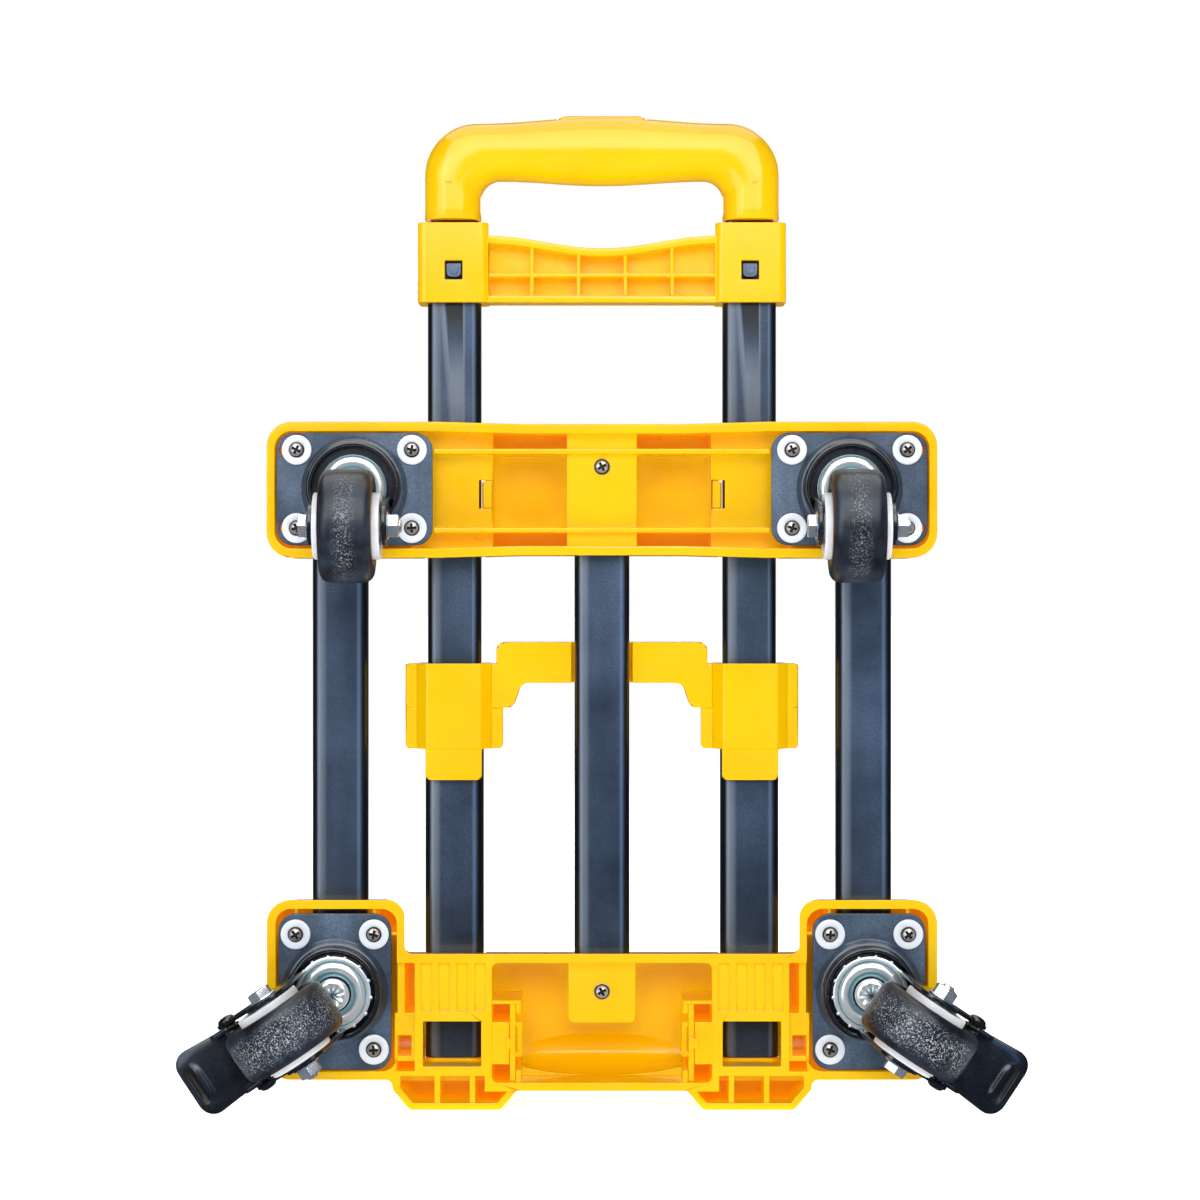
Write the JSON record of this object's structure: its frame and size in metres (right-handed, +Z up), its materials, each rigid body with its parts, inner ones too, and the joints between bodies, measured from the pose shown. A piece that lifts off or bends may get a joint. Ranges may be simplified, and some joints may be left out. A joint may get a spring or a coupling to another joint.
{
  "type": "folding platform cart",
  "caption": "Folded hand cart with a plastic platform frame, steel tubes, swivel casters with foot brakes and a telescoping handle that folds and locks.",
  "frame": {"origin": "centre of the bounding box on the plane the two feet of the rear base stand on", "axes": "+Z up along the handle from the rear base to the grip, -Y towards the wheels, +Y towards the load side, +X to the right seen from the wheel side"},
  "size_m": [0.3878, 0.1054, 0.4617],
  "materials": {
    "yellow_plastic": "moulded, semi-gloss",
    "black_tube": "satin powder coat on steel tube",
    "black_caster_steel": "black electrocoat on pressed steel",
    "zinc": "bright blue-white zinc plate",
    "bright_steel": "zinc-plated fasteners",
    "hub_plastic": "moulded, satin",
    "tyre_rubber": "hard rubber, dusty"
  },
  "bodies": {
    "platform": {"rear_base": "yellow_plastic", "front_bar": "yellow_plastic", "platform_tube_left": "black_tube", "platform_tube_right": "black_tube", "platform_tube_center": "black_tube", "center_screw_rear": "bright_steel", "center_screw_front": "bright_steel", "pivot_pin_left": "bright_steel", "pivot_pin_right": "bright_steel", "pin_retainer_left": "yellow_plastic", "pin_retainer_right": "yellow_plastic", "caster_plate_front_left": "black_caster_steel", "caster_plate_front_right": "black_caster_steel", "caster_plate_rear_left": "black_caster_steel", "caster_plate_rear_right": "black_caster_steel", "kingpin_front_left": "zinc", "kingpin_front_right": "zinc", "kingpin_rear_left": "zinc", "kingpin_rear_right": "zinc"},
    "handle": {"outer_tube_left": "black_tube", "outer_tube_right": "black_tube", "tube_plug_left": "yellow_plastic", "tube_plug_right": "yellow_plastic", "handle_bridge": "yellow_plastic"},
    "middle_stage": {"middle_tube_left": "black_tube", "middle_tube_right": "black_tube", "handle_crosspiece": "yellow_plastic"},
    "inner_stage": {"inner_tube_left": "black_tube", "inner_tube_right": "black_tube", "grip": "yellow_plastic", "button_spring": "bright_steel"},
    "button": {"grip_button": "yellow_plastic"},
    "catch_left": {"stage_catch_left": "bright_steel"},
    "catch_right": {"stage_catch_right": "bright_steel"},
    "front_left_swivel": {"caster_fork_front_left": "black_caster_steel", "race_cup_front_left": "zinc", "axle_bolt_front_left": "bright_steel", "axle_nut_front_left": "bright_steel"},
    "front_left_wheel": {"wheel_hub_front_left": "hub_plastic", "tyre_front_left": "tyre_rubber"},
    "front_right_swivel": {"caster_fork_front_right": "black_caster_steel", "race_cup_front_right": "zinc", "axle_bolt_front_right": "bright_steel", "axle_nut_front_right": "bright_steel"},
    "front_right_wheel": {"wheel_hub_front_right": "hub_plastic", "tyre_front_right": "tyre_rubber"},
    "rear_left_swivel": {"caster_fork_rear_left": "black_caster_steel", "race_cup_rear_left": "zinc", "axle_bolt_rear_left": "bright_steel", "axle_nut_rear_left": "bright_steel"},
    "rear_left_wheel": {"wheel_hub_rear_left": "hub_plastic", "tyre_rear_left": "tyre_rubber"},
    "left_brake_pedal": {"brake_pedal_left": "black_caster_steel"},
    "rear_right_swivel": {"caster_fork_rear_right": "black_caster_steel", "race_cup_rear_right": "zinc", "axle_bolt_rear_right": "bright_steel", "axle_nut_rear_right": "bright_steel"},
    "rear_right_wheel": {"wheel_hub_rear_right": "hub_plastic", "tyre_rear_right": "tyre_rubber"},
    "right_brake_pedal": {"brake_pedal_right": "black_caster_steel"}
  },
  "joints": [
    {"name": "handle_fold", "type": "hinge", "parent": "platform", "child": "handle", "pos_m": [0, 0.03825, 0.027], "axis": [-1, 0, 0], "range_deg": [0, 90]},
    {"name": "middle_stage_slide", "type": "slide", "parent": "handle", "child": "middle_stage", "axis": [0, 0, 1], "range_m": [-0.05, 0.084]},
    {"name": "inner_stage_slide", "type": "slide", "parent": "middle_stage", "child": "inner_stage", "axis": [0, 0, 1], "range_m": [0, 0.28]},
    {"name": "button_press", "type": "slide", "parent": "inner_stage", "child": "button", "axis": [0, 0, -1], "range_m": [0, 0.0025], "stiffness_N_per_m": 400, "deforming": ["button_spring"]},
    {"name": "catch_left_draw", "type": "slide", "parent": "middle_stage", "child": "catch_left", "axis": [0, 1, 0], "range_m": [0, 0.0015]},
    {"name": "catch_right_draw", "type": "slide", "parent": "middle_stage", "child": "catch_right", "axis": [0, 1, 0], "range_m": [0, 0.0015]},
    {"name": "front_left_caster_swivel", "type": "hinge", "parent": "platform", "child": "front_left_swivel", "pos_m": [-0.114, 0.01075, 0.2857], "axis": [0, 1, 0], "continuous": true},
    {"name": "front_left_wheel_spin", "type": "hinge", "parent": "front_left_swivel", "child": "front_left_wheel", "pos_m": [-0.114, -0.02725, 0.2677], "axis": [1, 0, 0], "continuous": true},
    {"name": "front_right_caster_swivel", "type": "hinge", "parent": "platform", "child": "front_right_swivel", "pos_m": [0.114, 0.01075, 0.2857], "axis": [0, 1, 0], "continuous": true},
    {"name": "front_right_wheel_spin", "type": "hinge", "parent": "front_right_swivel", "child": "front_right_wheel", "pos_m": [0.114, -0.02725, 0.2677], "axis": [1, 0, 0], "continuous": true},
    {"name": "rear_left_caster_swivel", "type": "hinge", "parent": "platform", "child": "rear_left_swivel", "pos_m": [-0.123, 0.01075, 0.0542], "axis": [0, 1, 0], "continuous": true},
    {"name": "rear_left_wheel_spin", "type": "hinge", "parent": "rear_left_swivel", "child": "rear_left_wheel", "pos_m": [-0.14218, -0.02725, 0.04151], "axis": [0.5519, 0, -0.8339], "continuous": true},
    {"name": "left_brake_press", "type": "hinge", "parent": "rear_left_swivel", "child": "left_brake_pedal", "pos_m": [-0.16136, -0.00505, 0.02881], "axis": [-0.5519, 0, 0.8339], "range_deg": [0, 12]},
    {"name": "rear_right_caster_swivel", "type": "hinge", "parent": "platform", "child": "rear_right_swivel", "pos_m": [0.123, 0.01075, 0.0542], "axis": [0, 1, 0], "continuous": true},
    {"name": "rear_right_wheel_spin", "type": "hinge", "parent": "rear_right_swivel", "child": "rear_right_wheel", "pos_m": [0.14218, -0.02725, 0.04151], "axis": [0.5519, 0, 0.8339], "continuous": true},
    {"name": "right_brake_press", "type": "hinge", "parent": "rear_right_swivel", "child": "right_brake_pedal", "pos_m": [0.16136, -0.00505, 0.02881], "axis": [-0.5519, 0, -0.8339], "range_deg": [0, 12]}
  ],
  "couplings": [
    {"joint": "catch_left_draw", "follows": "button_press", "ratio": 0.6},
    {"joint": "catch_right_draw", "follows": "button_press", "ratio": 0.6}
  ]
}
